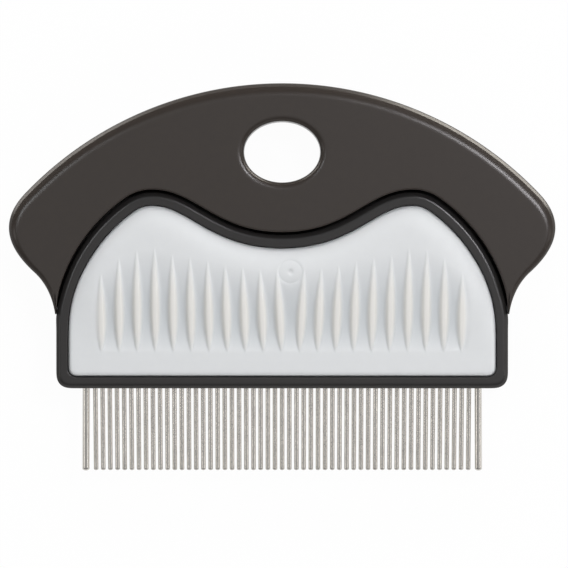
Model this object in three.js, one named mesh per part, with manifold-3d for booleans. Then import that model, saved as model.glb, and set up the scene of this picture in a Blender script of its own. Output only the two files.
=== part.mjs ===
import * as THREE from "three";
import { mergeVertices } from "three/addons/utils/BufferGeometryUtils.js";
import Module from "manifold-3d";

// A palm comb with fine steel teeth, lying on its back. Lengths are in millimetres.
// X runs along the row of teeth, Y from the tooth tips to the top of the grip, Z out of the front face.
// The outlines are drawn with Y = 0 on the bottom edge of the tooth carrier, where the teeth leave it.

const wasm = await Module();
wasm.setup();

// Tooth carrier: the plate that holds the teeth and the pads
const carrierWidth = 82.7;
const carrierThickness = 8.4;
const carrierCornerRadius = 2.2;
const carrierChamferWidth = 0.9;
const carrierChamferDepth = 0.6;
const railHeight = 2.1;
const rimWidth = 2.35;
const pocketDepth = 2.0;

// Parting line between carrier and handle
const seamGap = 0.5;
const shoulderHeight = 36.0;
const dipDepth = 7.8;
const seamEndHeight = 15.4;
const seamEndInset = 0.26;
const seamFootShare = 0.5844;
const seamFlankAngle = 0.959;
const seamEndAngle = 0.184;
const shoulderXShare = 0.577;
const flankXShare = 0.694;
const flankDropShare = 0.3279;
const dipPullShares = { middle: 0.521, shoulder: 0.336 };
const shoulderPullShares = { shoulder: 0.566, flank: 0.089 };
const flankPullShares = { flank: 0.309, end: 0.5 };
const footPullShare = 0.35;

// Tongue of the carrier and its slot in the handle
const tongueDepth = 3.0;
const tongueLeastDepth = 0.25;
const tongueThickness = 3.0;
const tongueFullShare = 0.75;
const tongueClearance = 0.15;

// Handle: the crescent that lies in the palm
const handleThickness = 10.4;
const gripDepth = 27.6;
const gripDrop = 20.17;
const tipShoulderOverhang = 5.72;
const waistOverhang = 3.95;
const waistRiseShare = 0.2793;
const waistAngle = 0.836;
const flankFootShare = 0.7078;
const tipPullShares = { shoulder: 0.517, waist: 0.43 };
const hollowPullShares = { waist: 0.235, foot: 0.516 };
const handleEndGap = 0.3;
const gripChamferWidth = 1.7;
const gripChamferDepth = 0.9;
const gripRoundWidth = 0.35;
const gripRoundDepth = 0.7;
const chamferFullShare = 0.7217;
const chamferLeastShare = 0.15;

// Hang hole in the handle
const hangHoleWidth = 14.0;
const hangHoleHeight = 11.2;
const hangHoleChamfer = 0.9;
const hangHoleYShare = 0.546;

// Teeth: round steel pins in blind holes of the carrier
const fineToothCount = 53;
const fineToothDiameter = 0.88;
const fineToothReach = 15.15;
const guardToothDiameter = 1.35;
const guardToothReach = 15.22;
const guardInset = 5.4;
const guardSpacing = 1.68;
const toothSeatDepth = 5.0;
const toothClearance = 0.05;
const domeLengthShare = 0.6;

// Pads: one in a pocket on each face of the carrier
const padClearance = 0.12;
const padCornerRadius = 1.8;
const padEdgeRecess = 0.35;
const padRollWidth = 2.2;
const padRollRise = 0.6;
const padCrownRise = 0.3;
const gateOffset = 1.5;
const gateHeightShare = 0.7518;
const gateDiameter = 4.2;
const gateDepth = 0.15;
const gateNubDiameter = 0.9;

// Ribs: pointed ridges across each pad
const ribCount = 21;
const ribInset = 8.42;
const ribWidth = 1.5;
const ribRise = 0.35;
const ribFootGap = 4.56;
const ribRoot = 0.3;
const ribFan = 0.92;
const ribFanFade = 16.5;
// Length of each rib from the middle one outwards, as a share of the room up to the parting line above it
const ribReachShares = [0.684, 0.685, 0.679, 0.663, 0.652, 0.633, 0.614, 0.644, 0.637, 0.626, 0.588];
const ribStationShares = [0.12, 0.36, 0.64, 0.88];
// Half section of a rib: shares of its half width and of its height, from the edge to the crest
const ribSectionShares = [[1, 0], [0.55, 0.72], [0, 1]];

// One length by which every cutter runs past what it cuts
const overrun = 1.0;

// Sides and steps of the facets
const toothSides = 10;
const domeSteps = 2;
const cornerSteps = 3;
const gateSides = 20;
const archSteps = 11;
const tipSteps = 9;
const hollowSteps = 6;
const dipSteps = 8;
const shoulderSteps = 4;
const flankSteps = 8;
const footSteps = 2;
const holeSteps = 36;

// Sizes that follow from the ones above
const carrierHalf = carrierWidth / 2;
const dipHeight = shoulderHeight - dipDepth;
const archHeight = dipHeight + gripDepth;
const midPlane = handleThickness / 2;
const carrierFace = carrierThickness / 2;
const pocketFloor = carrierFace - pocketDepth;
const rimReach = seamGap / 2 + rimWidth;
const padTop = carrierFace - padEdgeRecess + padRollRise;
const seamFootHeight = seamFootShare * seamEndHeight;
const tongueFullHeight = THREE.MathUtils.lerp(seamEndHeight, dipHeight, tongueFullShare);
const tipHeight = archHeight - gripDrop;
const chamferFullHeight = THREE.MathUtils.lerp(seamEndHeight, tipHeight, chamferFullShare);
const gateHeight = gateHeightShare * dipHeight;
const ribPitch = (2 * (carrierHalf - ribInset)) / (ribCount - 1);
const ribFootHeight = railHeight + ribFootGap;

const point = (x, y) => new THREE.Vector2(x, y);

// The point at a distance from another, in a direction measured from straight down towards +X
function pulled(from, distance, angle) {
  return point(from.x + distance * Math.sin(angle), from.y - distance * Math.cos(angle));
}

function curvePoints(a, b, c, d, steps) {
  return new THREE.CubicBezierCurve(a, b, c, d).getPoints(steps);
}

// A half line from the middle outwards is completed with its mirror image. The result runs anticlockwise
// from the right foot over the middle to the left foot.
function mirrored(half) {
  const right = half.slice(1).reverse();
  const left = half.slice(1).map((p) => point(-p.x, p.y));
  return [...right, half[0], ...left];
}

function joined(...curves) {
  return curves.flatMap((points, index) => (index === 0 ? points : points.slice(1)));
}

// Centre line of the parting gap: up from the dip in the middle to the shoulder, round it, down the flank
// and into the side of the carrier.
function makeSeamLine() {
  const dip = point(0, dipHeight);
  const shoulder = point(shoulderXShare * carrierHalf, shoulderHeight);
  const turn = flankXShare * carrierHalf - shoulder.x;
  const flank = point(shoulder.x + turn, shoulder.y - flankDropShare * turn);
  const end = point(carrierHalf - seamEndInset, seamEndHeight);
  const foot = point(carrierHalf + seamGap / 2, seamFootHeight);
  const flankRise = flank.y - end.y;
  const tail = end.y - foot.y;
  const fromDip = point(dip.x + dipPullShares.middle * shoulder.x, dip.y);
  const toShoulder = point(shoulder.x - dipPullShares.shoulder * shoulder.x, shoulder.y);
  const fromShoulder = point(shoulder.x + shoulderPullShares.shoulder * turn, shoulder.y);
  const toFlank = pulled(flank, -shoulderPullShares.flank * turn, seamFlankAngle);
  const fromFlank = pulled(flank, flankPullShares.flank * flankRise, seamFlankAngle);
  const toEnd = pulled(end, -flankPullShares.end * flankRise, seamEndAngle);
  const fromEnd = pulled(end, footPullShare * tail, seamEndAngle);
  const toFoot = point(foot.x, foot.y + footPullShare * tail);
  return mirrored(joined(
    curvePoints(dip, fromDip, toShoulder, shoulder, dipSteps),
    curvePoints(shoulder, fromShoulder, toFlank, flank, shoulderSteps),
    curvePoints(flank, fromFlank, toEnd, end, flankSteps),
    curvePoints(end, fromEnd, toFoot, foot, footSteps),
  ));
}

// Outer edge of the comb: a circular arch, a rounded tip on each side, and a hollow flank that runs into
// the side of the carrier.
function makeSilhouette() {
  const shoulder = point(carrierHalf + tipShoulderOverhang, tipHeight);
  const radius = (shoulder.x ** 2 + gripDrop ** 2) / (2 * gripDrop);
  const shoulderTurn = Math.asin(shoulder.x / radius);
  const arch = [];
  for (let step = 0; step <= archSteps; step += 1) {
    const turn = (shoulderTurn * step) / archSteps;
    arch.push(point(radius * Math.sin(turn), archHeight - radius * (1 - Math.cos(turn))));
  }
  const waistHeight = THREE.MathUtils.lerp(seamEndHeight, tipHeight, waistRiseShare);
  const waist = point(carrierHalf + waistOverhang, waistHeight);
  const foot = point(carrierHalf, flankFootShare * seamEndHeight);
  const tipDepth = shoulder.y - waist.y;
  const hollowDepth = waist.y - foot.y;
  const fromShoulder = pulled(shoulder, tipPullShares.shoulder * tipDepth, Math.PI / 2 - shoulderTurn);
  const toWaist = pulled(waist, tipPullShares.waist * tipDepth, Math.PI - waistAngle);
  const fromWaist = pulled(waist, hollowPullShares.waist * hollowDepth, -waistAngle);
  const toFoot = point(foot.x, foot.y + hollowPullShares.foot * hollowDepth);
  return mirrored(joined(
    arch,
    curvePoints(shoulder, fromShoulder, toWaist, waist, tipSteps),
    curvePoints(waist, fromWaist, toFoot, foot, hollowSteps),
  ));
}

const seamLine = makeSeamLine();
const silhouette = makeSilhouette();

// Height of the parting line at a distance to the right or left of the middle
function seamHeightAt(x) {
  const upper = seamLine.filter((p) => p.y >= seamEndHeight);
  const next = upper.findIndex((p) => p.x < -Math.abs(x));
  const [a, b] = [upper[next - 1], upper[next]];
  return THREE.MathUtils.mapLinear(-Math.abs(x), a.x, b.x, a.y, b.y);
}

// Each point of an anticlockwise line moves inwards, square to the line, by the distance given for it.
function moveInwards(line, distanceAt, closed) {
  const last = line.length - 1;
  return line.map((p, index) => {
    const before = line[index > 0 ? index - 1 : closed ? last : index];
    const after = line[index < last ? index + 1 : closed ? 0 : index];
    const arriving = p.clone().sub(before).normalize();
    const leaving = after.clone().sub(p).normalize();
    const along = arriving.add(leaving).normalize();
    return point(p.x - along.y * distanceAt(p), p.y + along.x * distanceAt(p));
  });
}

// Closed outline that follows the parting line at a distance inside it and has two rounded lower corners.
// A negative distance lies outside the line. The distance may also be a function of the place on the line.
function plateOutline(inside, bottom, cornerRadius) {
  const upper = moveInwards(seamLine, typeof inside === "function" ? inside : () => inside, false);
  const half = upper[0].x;
  const corners = [];
  for (let step = 0; step <= cornerSteps; step += 1) {
    const turn = (Math.PI / 2) * (step / cornerSteps);
    const outwards = half - cornerRadius * (1 - Math.cos(turn));
    const height = bottom + cornerRadius * (1 - Math.sin(turn));
    corners.push(point(outwards, height));
  }
  const leftCorner = corners.map((p) => point(-p.x, p.y));
  return [...upper, ...leftCorner, ...corners.reverse()];
}

// Closed body between a stack of outlines that all have the same number of points. Every layer is a
// height and its outline, from the lowest to the highest.
function stackedSolid(layers) {
  const count = layers[0].outline.length;
  const positions = [];
  const faces = [];
  for (const { z, outline } of layers) {
    for (const p of outline) positions.push(p.x, p.y, z);
  }
  for (let layer = 0; layer < layers.length - 1; layer += 1) {
    for (let index = 0; index < count; index += 1) {
      const a = layer * count + index;
      const b = layer * count + ((index + 1) % count);
      faces.push(a, b, b + count, a, b + count, a + count);
    }
  }
  const top = (layers.length - 1) * count;
  for (const [a, b, c] of THREE.ShapeUtils.triangulateShape(layers[0].outline, [])) {
    faces.push(a, c, b);
  }
  for (const [a, b, c] of THREE.ShapeUtils.triangulateShape(layers.at(-1).outline, [])) {
    faces.push(top + a, top + b, top + c);
  }
  const geometry = new THREE.BufferGeometry();
  geometry.setAttribute("position", new THREE.Float32BufferAttribute(positions, 3));
  geometry.setIndex(faces);
  return geometry;
}

// A body that is the same above and below the middle plane of the comb. Each layer gives a height above
// that plane and an outline, from the plane outwards.
function twoFacedSolid(layers) {
  const below = [...layers].reverse().map(({ z, outline }) => ({ z: midPlane - z, outline }));
  const above = layers.map(({ z, outline }) => ({ z: midPlane + z, outline }));
  return stackedSolid([...below, ...above]);
}

function straightSolid(outline, low, high) {
  return stackedSolid([{ z: low, outline }, { z: high, outline }]);
}

function solid(geometry) {
  const bare = geometry.clone();
  bare.deleteAttribute("normal");
  bare.deleteAttribute("uv");
  const merged = mergeVertices(bare);
  const index = merged.index.array;
  const corners = [];
  for (let i = 0; i < index.length; i += 3) {
    const [a, b, c] = [index[i], index[i + 1], index[i + 2]];
    if (a !== b && b !== c && c !== a) corners.push(a, b, c);
  }
  return new wasm.Manifold(new wasm.Mesh({
    numProp: 3,
    vertProperties: new Float32Array(merged.attributes.position.array),
    triVerts: new Uint32Array(corners),
  }));
}

function meshOf(name, shape, material) {
  const { vertProperties, triVerts } = shape.getMesh();
  const geometry = new THREE.BufferGeometry();
  geometry.setAttribute("position", new THREE.BufferAttribute(vertProperties, 3));
  geometry.setIndex(new THREE.BufferAttribute(triVerts, 1));
  geometry.computeVertexNormals();
  const mesh = new THREE.Mesh(geometry, material);
  mesh.name = name;
  return mesh;
}

// Everything on one side of a level line across the comb
function band(low, high) {
  const reach = carrierHalf + tipShoulderOverhang + gripDepth;
  const corners = [point(-reach, low), point(reach, low), point(reach, high), point(-reach, high)];
  return solid(straightSolid(corners, -overrun, handleThickness + overrun));
}

// The wide bevel of the grip narrows to almost nothing on the hollow flanks.
function gripBevelShare(p) {
  return THREE.MathUtils.lerp(
    chamferLeastShare,
    1,
    THREE.MathUtils.smoothstep(p.y, seamEndHeight, chamferFullHeight),
  );
}

function gripOutline(inset) {
  return moveInwards(silhouette, (p) => inset * gripBevelShare(p), true);
}

function hangHoleCutter() {
  const centre = point(0, dipHeight + hangHoleYShare * (archHeight - dipHeight));
  const ellipse = (growth) => {
    const outline = [];
    for (let step = 0; step < holeSteps; step += 1) {
      const turn = (2 * Math.PI * step) / holeSteps;
      outline.push(point(
        centre.x + (hangHoleWidth / 2 + growth) * Math.cos(turn),
        centre.y + (hangHoleHeight / 2 + growth) * Math.sin(turn),
      ));
    }
    return outline;
  };
  const face = handleThickness / 2;
  return solid(twoFacedSolid([
    { z: face - hangHoleChamfer, outline: ellipse(0) },
    { z: face, outline: ellipse(hangHoleChamfer) },
    { z: face + overrun, outline: ellipse(hangHoleChamfer) },
  ]));
}

// How far the tongue reaches past the parting line: its full depth above the flanks, and just across the gap
// at the thin ends of the handle
function tongueReachAt(p) {
  const share = THREE.MathUtils.smoothstep(p.y, seamEndHeight, tongueFullHeight);
  return seamGap / 2 + THREE.MathUtils.lerp(tongueLeastDepth, tongueDepth, share);
}

function makeHandle() {
  const face = handleThickness / 2;
  const blank = solid(twoFacedSolid([
    { z: face - gripChamferDepth - gripRoundDepth, outline: gripOutline(0) },
    { z: face - gripChamferDepth, outline: gripOutline(gripRoundWidth) },
    { z: face, outline: gripOutline(gripChamferWidth) },
  ]));
  const low = -overrun;
  const high = handleThickness + overrun;
  const bay = solid(straightSolid(plateOutline(-seamGap / 2, -overrun, carrierCornerRadius), low, high));
  const slotHalf = tongueThickness / 2 + tongueClearance;
  const slot = solid(straightSolid(
    plateOutline((p) => -tongueReachAt(p) - tongueClearance, 0, carrierCornerRadius),
    midPlane - slotHalf,
    midPlane + slotHalf,
  ));
  const ends = band(-overrun, seamEndHeight + handleEndGap);
  return blank.subtract(bay).subtract(slot).subtract(ends).subtract(hangHoleCutter());
}

// A pin along Y with its root at the top and a rounded tip below
function pinGeometry(radius, root, tip) {
  const dome = radius * domeLengthShare;
  const profile = [point(0, tip)];
  for (let step = 1; step <= domeSteps; step += 1) {
    const turn = (Math.PI / 2) * (step / domeSteps);
    profile.push(point(radius * Math.sin(turn), tip + dome * (1 - Math.cos(turn))));
  }
  profile.push(point(radius, root), point(0, root));
  return new THREE.LatheGeometry(profile, toothSides);
}

function toothPlaces() {
  const first = -carrierHalf + guardInset + guardSpacing;
  const pitch = (-2 * first) / (fineToothCount - 1);
  const places = [];
  for (let index = 0; index < fineToothCount; index += 1) {
    places.push({
      name: `fine_tooth_${String(index + 1).padStart(2, "0")}`,
      x: first + index * pitch,
      diameter: fineToothDiameter,
      reach: fineToothReach,
    });
  }
  const guard = { diameter: guardToothDiameter, reach: guardToothReach };
  places.push({ name: "guard_tooth_left", x: -carrierHalf + guardInset, ...guard });
  places.push({ name: "guard_tooth_right", x: carrierHalf - guardInset, ...guard });
  return places;
}

function makeTooth({ diameter, reach }) {
  return solid(pinGeometry(diameter / 2, toothSeatDepth, -reach));
}

function toothHole({ x, diameter }) {
  const radius = diameter / 2 + toothClearance;
  const profile = [point(0, -overrun), point(radius, -overrun)];
  profile.push(point(radius, toothSeatDepth + toothClearance), point(0, toothSeatDepth + toothClearance));
  return solid(new THREE.LatheGeometry(profile, toothSides)).translate([x, 0, midPlane]);
}

function carrierPlate(inset) {
  const radius = carrierCornerRadius - inset;
  return plateOutline(seamGap / 2 + inset, inset, radius);
}

// The carrier's own side goes on below the handle's ends in the line of the handle's hollow flank.
function flankLanding() {
  const outline = (inset) => moveInwards(silhouette, () => inset, true);
  const landing = solid(twoFacedSolid([
    { z: carrierFace - carrierChamferDepth, outline: outline(0) },
    { z: carrierFace, outline: outline(carrierChamferWidth) },
  ]));
  return landing.intersect(band(0, seamEndHeight));
}

function makeCarrier(teeth) {
  const plate = solid(twoFacedSolid([
    { z: carrierFace - carrierChamferDepth, outline: carrierPlate(0) },
    { z: carrierFace, outline: carrierPlate(carrierChamferWidth) },
  ]));
  const tongue = solid(straightSolid(
    plateOutline((p) => -tongueReachAt(p), 0, carrierCornerRadius),
    midPlane - tongueThickness / 2,
    midPlane + tongueThickness / 2,
  )).intersect(band(seamEndHeight - tongueClearance, archHeight));
  const pocket = plateOutline(rimReach, railHeight, padCornerRadius + padClearance);
  const frontPocket = straightSolid(pocket, midPlane + pocketFloor, handleThickness + overrun);
  const rearPocket = straightSolid(pocket, -overrun, midPlane - pocketFloor);
  let carrier = plate.add(flankLanding()).add(tongue);
  carrier = carrier.subtract(solid(frontPocket)).subtract(solid(rearPocket));
  for (const tooth of teeth) carrier = carrier.subtract(toothHole(tooth));
  return carrier;
}

// The ribs spread a little away from the gate mark towards their upper ends, those next to it the most.
function ribLean(x) {
  const fromGate = x - gateOffset;
  return ribFan * Math.sign(fromGate) * Math.exp(-Math.abs(fromGate) / ribFanFade);
}

// One rib: a ridge that swells from a point at its foot to its full width and back to a point
function makeRib(x, length) {
  const lean = ribLean(x);
  const rootLevel = padTop - ribRoot;
  const swell = (share) => Math.sin(Math.PI * share);
  const rightHalf = (share) => ribSectionShares.map(([across, up]) => [
    (across * swell(share) * ribWidth) / 2,
    padTop + up * swell(share) * ribRise,
  ]);
  const sections = ribStationShares.map((share) => {
    const right = rightHalf(share);
    const left = right.slice(0, -1).reverse().map(([across, z]) => [-across, z]);
    const sides = [...right, ...left];
    const roots = [[left.at(-1)[0], rootLevel], [right[0][0], rootLevel]];
    const middle = x + lean * share;
    return [...sides, ...roots].map(([across, z]) => [middle + across, ribFootHeight + share * length, z]);
  });
  const positions = [[x, ribFootHeight, rootLevel], ...sections.flat()];
  positions.push([x + lean, ribFootHeight + length, rootLevel]);
  const count = sections[0].length;
  const faces = [];
  for (let index = 0; index < count; index += 1) {
    const next = (index + 1) % count;
    faces.push(0, 1 + index, 1 + next);
    for (let station = 0; station < sections.length - 1; station += 1) {
      const here = 1 + station * count;
      const beyond = here + count;
      faces.push(here + index, beyond + index, here + next);
      faces.push(here + next, beyond + index, beyond + next);
    }
    const lastSection = 1 + (sections.length - 1) * count;
    faces.push(lastSection + index, positions.length - 1, lastSection + next);
  }
  const geometry = new THREE.BufferGeometry();
  geometry.setAttribute("position", new THREE.Float32BufferAttribute(positions.flat(), 3));
  geometry.setIndex(faces);
  return solid(geometry);
}

// The shallow round mark where the pad was filled in its mould, with a small nub in its middle
function gateRecess() {
  const disc = (diameter, low, high) => {
    const geometry = new THREE.CylinderGeometry(diameter / 2, diameter / 2, high - low, gateSides);
    geometry.rotateX(Math.PI / 2);
    geometry.translate(gateOffset, gateHeight, (low + high) / 2);
    return solid(geometry);
  };
  const floor = padTop - gateDepth;
  const recess = disc(gateDiameter, floor, padTop + ribRise + overrun);
  const nub = disc(gateNubDiameter, floor - ribRoot, padTop);
  return { recess, nub };
}

// The pad's face swells towards its middle, by a share that falls to nothing at its edges.
function crownAt(x, y) {
  const half = carrierHalf - rimWidth;
  const middle = (railHeight + shoulderHeight - rimReach) / 2;
  const across = Math.max(0, 1 - (x / half) ** 2);
  const upwards = Math.max(0, 1 - ((y - middle) / (middle - railHeight)) ** 2);
  return padCrownRise * across * upwards;
}

function padOutline(inset) {
  const corner = Math.max(padCornerRadius - inset, padClearance);
  const side = rimReach + padClearance + inset;
  return plateOutline(side, railHeight + padClearance + inset, corner);
}

// A pad, made face up with its height counted from the middle plane of the comb
function makePad(withGate) {
  const edge = carrierFace - padEdgeRecess;
  const rollAt = (share) => ({
    z: edge + padRollRise * Math.sin((Math.PI / 2) * share),
    outline: padOutline(padRollWidth * (1 - Math.cos((Math.PI / 2) * share))),
  });
  let pad = solid(stackedSolid([
    { z: pocketFloor + padClearance, outline: padOutline(0) },
    rollAt(0),
    rollAt(1 / 2),
    rollAt(1),
  ]));
  const middle = (ribCount - 1) / 2;
  for (let index = 0; index < ribCount; index += 1) {
    const fromMiddle = index - middle;
    const x = fromMiddle * ribPitch;
    const room = seamHeightAt(x) - ribFootHeight;
    pad = pad.add(makeRib(x, room * ribReachShares[Math.abs(fromMiddle)]));
  }
  if (withGate) {
    const { recess, nub } = gateRecess();
    pad = pad.subtract(recess).add(nub);
  }
  return pad;
}

function padMesh(name, material, facing, withGate) {
  const mesh = meshOf(name, makePad(withGate), material);
  const position = mesh.geometry.attributes.position;
  for (let index = 0; index < position.count; index += 1) {
    const [x, y, z] = [position.getX(index), position.getY(index), position.getZ(index)];
    if (z > carrierFace - padEdgeRecess) position.setZ(index, z + crownAt(x, y));
  }
  if (facing < 0) mesh.rotation.y = Math.PI;
  mesh.position.z = midPlane;
  return mesh;
}

const gripPlastic = new THREE.MeshStandardMaterial({ color: 0x423e3a, roughness: 0.55, metalness: 0 });
const carrierPlastic = new THREE.MeshStandardMaterial({ color: 0x3f3d39, roughness: 0.45, metalness: 0 });
const padRubber = new THREE.MeshStandardMaterial({ color: 0xd4d7da, roughness: 0.7, metalness: 0 });
const toothSteel = new THREE.MeshStandardMaterial({ color: 0xb4b4b2, roughness: 0.28, metalness: 1 });

const teeth = toothPlaces();
const comb = new THREE.Group();
comb.add(meshOf("handle", makeHandle(), gripPlastic.clone()));
comb.add(meshOf("tooth_carrier", makeCarrier(teeth), carrierPlastic.clone()));
comb.add(padMesh("front_pad", padRubber.clone(), 1, true));
comb.add(padMesh("rear_pad", padRubber.clone(), -1, false));
for (const tooth of teeth) {
  const mesh = meshOf(tooth.name, makeTooth(tooth), toothSteel.clone());
  mesh.position.set(tooth.x, 0, midPlane);
  comb.add(mesh);
}

// The origin is under the middle of the comb's box, on the surface that the comb lies on.
comb.position.y = (guardToothReach - archHeight) / 2;

const part = new THREE.Group();
part.add(comb);
export default part;
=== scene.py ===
"""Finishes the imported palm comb: a black two-part plastic body, two pale ribbed rubber pads and a row of steel pins.

The comb lies on its back. X runs along the row of pins, Y from their tips to the top of the grip, Z out of the
front. Outlines are drawn in millimetres with Y = 0 on the bottom edge of the carrier, where the pins leave it, and
heights are counted from the middle plane of the comb. Only the last step turns them into metres of the frame.
"""

import math

import bpy
import numpy as np
from bpy.props import FloatProperty, FloatVectorProperty, PointerProperty
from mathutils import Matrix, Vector
from mathutils.geometry import delaunay_2d_cdt


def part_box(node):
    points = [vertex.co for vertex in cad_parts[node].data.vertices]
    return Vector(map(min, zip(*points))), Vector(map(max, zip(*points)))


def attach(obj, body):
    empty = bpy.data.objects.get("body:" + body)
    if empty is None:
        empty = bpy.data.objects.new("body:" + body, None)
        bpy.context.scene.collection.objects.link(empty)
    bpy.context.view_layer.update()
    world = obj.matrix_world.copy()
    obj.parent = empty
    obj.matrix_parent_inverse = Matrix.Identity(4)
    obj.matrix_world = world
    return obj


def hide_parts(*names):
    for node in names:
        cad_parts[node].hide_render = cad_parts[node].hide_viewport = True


bl_info = {
    "name": "Palm comb finish",
    "version": (1, 0, 0),
    "blender": (4, 5, 0),
    "location": "3D View > Sidebar > Palm comb",
    "description": "Dresses the packed palm comb with moulded shells, rubber pads and steel pins",
    "category": "Object",
}

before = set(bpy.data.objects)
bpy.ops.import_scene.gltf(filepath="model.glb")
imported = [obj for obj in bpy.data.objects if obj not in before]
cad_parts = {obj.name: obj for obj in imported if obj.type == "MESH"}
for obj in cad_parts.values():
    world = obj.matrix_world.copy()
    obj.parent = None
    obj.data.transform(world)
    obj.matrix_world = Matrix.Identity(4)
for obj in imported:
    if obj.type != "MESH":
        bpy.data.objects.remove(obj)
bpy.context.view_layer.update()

MM = 0.001
BODY = "root"
HANDLE_LOW, HANDLE_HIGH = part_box("handle")
CARRIER_LOW, CARRIER_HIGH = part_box("tooth_carrier")
MID_Z = (HANDLE_LOW.z + HANDLE_HIGH.z) / 2 / MM
HANDLE_FACE = (HANDLE_HIGH.z - HANDLE_LOW.z) / 2 / MM
CARRIER_FACE = (CARRIER_HIGH.z - CARRIER_LOW.z) / 2 / MM
CARRIER_EDGE_Y = CARRIER_LOW.y / MM

# All lengths below are in millimetres, the angles of curves in radians and those of rounds in degrees. A range is a
# pair of heights between which something fades in, and a step is the distance between the points of a line.
LINE_STEP = 0.25
GRIP_STEP = 0.5
PLATE_STEP = 0.4
PAD_STEP = 0.3

# Outer edge of the comb
HALF = 41.35
ARCH_Y = 55.8
TIP_Y = 35.63
TIP_X = 47.07
WAIST = (45.3, 21.05)
WAIST_ANGLE = 0.836
FOOT_Y = 10.9
TIP_PULLS = (0.517, 0.43)
HOLLOW_PULLS = (0.235, 0.516)

# Parting line between grip and carrier. A pull is how far a curve's handle reaches, as a share of the curve's size.
SHOULDER_Y = 36.05
SHOULDER_SHARE = 0.577
DIP_Y = 28.25
DIP_PULLS = (0.521, 0.664)
FLANK_SHARE = 0.694
FLANK_DROP = 0.3279
FLANK_ANGLE = 0.959
SHOULDER_PULLS = (0.566, 0.089)
FLANK_PULLS = (0.309, 0.5)
SEAM_END_Y = 15.4
SEAM_END_INSET = 0.26
SEAM_END_ANGLE = 0.184
SEAM_FOOT_Y = 9.0
FOOT_PULL = 0.35
SEAM_GAP = 0.5
SEAM_HAIR = 0.05
GAP_RANGE = (SEAM_END_Y - 1.2, SEAM_END_Y + 2.4)

# Tongue of the carrier and its slot in the grip
TONGUE_TRACE = 0.25
TRACE_RANGE = (14.2, 16.0)
TONGUE_DEPTH = 3.0
TONGUE_RANGE = (SEAM_END_Y, 25.0)
TONGUE_HALF = 1.45
SLOT_HALF = 1.6
SLOT_ROOM = 0.15
SLOT_RANGE = (14.6, 15.8)

# Grip: its foot, the side's draft and ridge, the hang hole and the edge rounds. A round is (width, angle, fold radius,
# edge radius, rim chamfer), with steps for its fold, its straights and its edge. A collar is a flat strip beside it
# that keeps the round's shading off the face.
GRIP_FOOT_Y = SEAM_END_Y - 2.0
GRIP_COLLAR = 0.4
SIDE_DRAFT = 0.06
RIDGE = 0.03
HOLE_SHARE = 0.542
HOLE_HALF = (7.0, 5.6)
HOLE_LEAN = 0.15
HOLE_RIM = 1.2
HOLE_RIM_DEPTH = 0.95
HOLE_COLLAR = 0.3
BEVEL_RANGE = (16.5, 38.0)
FOOT_SHARE = 0.08
FOOT_RANGE = (SEAM_END_Y - 2.4, SEAM_END_Y + 3.0)
RIM_ROUND = 0.5
RIM_CHAMFER = 0.55
STEEP_ANGLE = math.radians(42)
FLANK_ROUND = (0.9, 35, 0.6, 0.45, 0.1)
INNER_ROUND = (0.3, 40, 0.3, 0.3, 0)
GRIP_STEPS = (9, 3, 12)

# Carrier and pockets. Between two heights its edge crosses from the parting line to the side of the comb.
CARRIER_CROSSING = (SEAM_END_Y - 2.7, SEAM_END_Y - 2.1)
CARRIER_BOTTOM_Y = -0.09
CARRIER_CORNER = 2.2
CARRIER_ROUND = (1.0, 38, 0.9, 0.12)
CARRIER_COLLAR = 0.25
CARRIER_DRAFT = 0.03
PARTED_RANGE = (14.4, 16.0)
RIM = 2.5
RIM_SWELL = (-0.12, 0.22)
RIM_RANGE = (15, 27)
RAIL = 2.0
MOUTH_CORNER = 1.52
MOUTH_ROUND = 0.18
MOUTH_COLLAR = 0.3
POCKET_FLOOR = 2.2

# Pads. A roll is written as (height, width). The insets and the grid are where the face's height is worked out.
PAD_GAP = 0.12
PAD_CORNER = 1.4
PAD_EDGE = 0.7
PAD_ROUND = 0.15
PAD_CROWN = 0.03
TOP_ROLL = (1.2, 2.4)
LOW_ROLL = (0.7, 0.35)
ROLL_RANGE = (6, 20)
PAD_INSETS = np.array((0, 0.02, 0.05, 0.1, 0.16, 0.24, 0.34, 0.46, 0.6, 0.75, 0.92, 1.1, 1.28))
GRID_LOW_Y = 2.8
GRID_STEP = 0.36
GRID_CLEAR = 0.12

# Ribs across a pad. A reach is a rib's share of the room up to the parting line above it, from the middle rib
# outwards. The grid's columns stand at shares of half a pitch beside each rib.
RIB_COUNT = 21
RIB_FOOT = 6.66
RIB_INSET = 8.42
RIB_PITCH = 2 * (HALF - RIB_INSET) / (RIB_COUNT - 1)
RIB_SHIFT = -0.12
RIB_FAN = 0.92
RIB_FAN_FADE = 16.5
RIB_POINT = 0.12
RIB_REACH = np.array((0.684, 0.685, 0.679, 0.663, 0.652, 0.633, 0.614, 0.644, 0.637, 0.626, 0.588))
COLUMN_SHARES = np.array((0, 0.06, 0.12, 0.18, 0.24, 0.30, 0.37, 0.46, 0.58, 0.72, 0.86))

# The mould gate's mark: a disc and a dimple, as (depth, inner radius, outer radius), and a groove, as (depth, width)
GATE = np.array((1.5, 0.7518 * DIP_Y))
GATE_RADIUS = 2.1
GATE_CLEAR = 2.45
GATE_DISC = (0.06, 1.7, 2.2)
GATE_DIMPLE = (0.14, 0.1, 0.75)
GATE_GROOVE = (0.07, 0.22)
GATE_RINGS = (0.12, 0.2, 0.28, 0.36, 0.44, 0.55, 0.8, 1.2, 1.6, 1.8, 1.88, 1.96, 2.03, 2.1, 2.17, 2.24, 2.32)

# Pins. A last straight ring close to the dome keeps the shading of the wire straight.
PIN_SIDES = 20
PIN_SEAT = 5.0
PIN_LEAD = 0.1
PIN_DOME = 0.6
PIN_RING = 0.12
PIN_FAN = -0.18
GUARD_FAN = 0.06


# Curves and offsets

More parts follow.
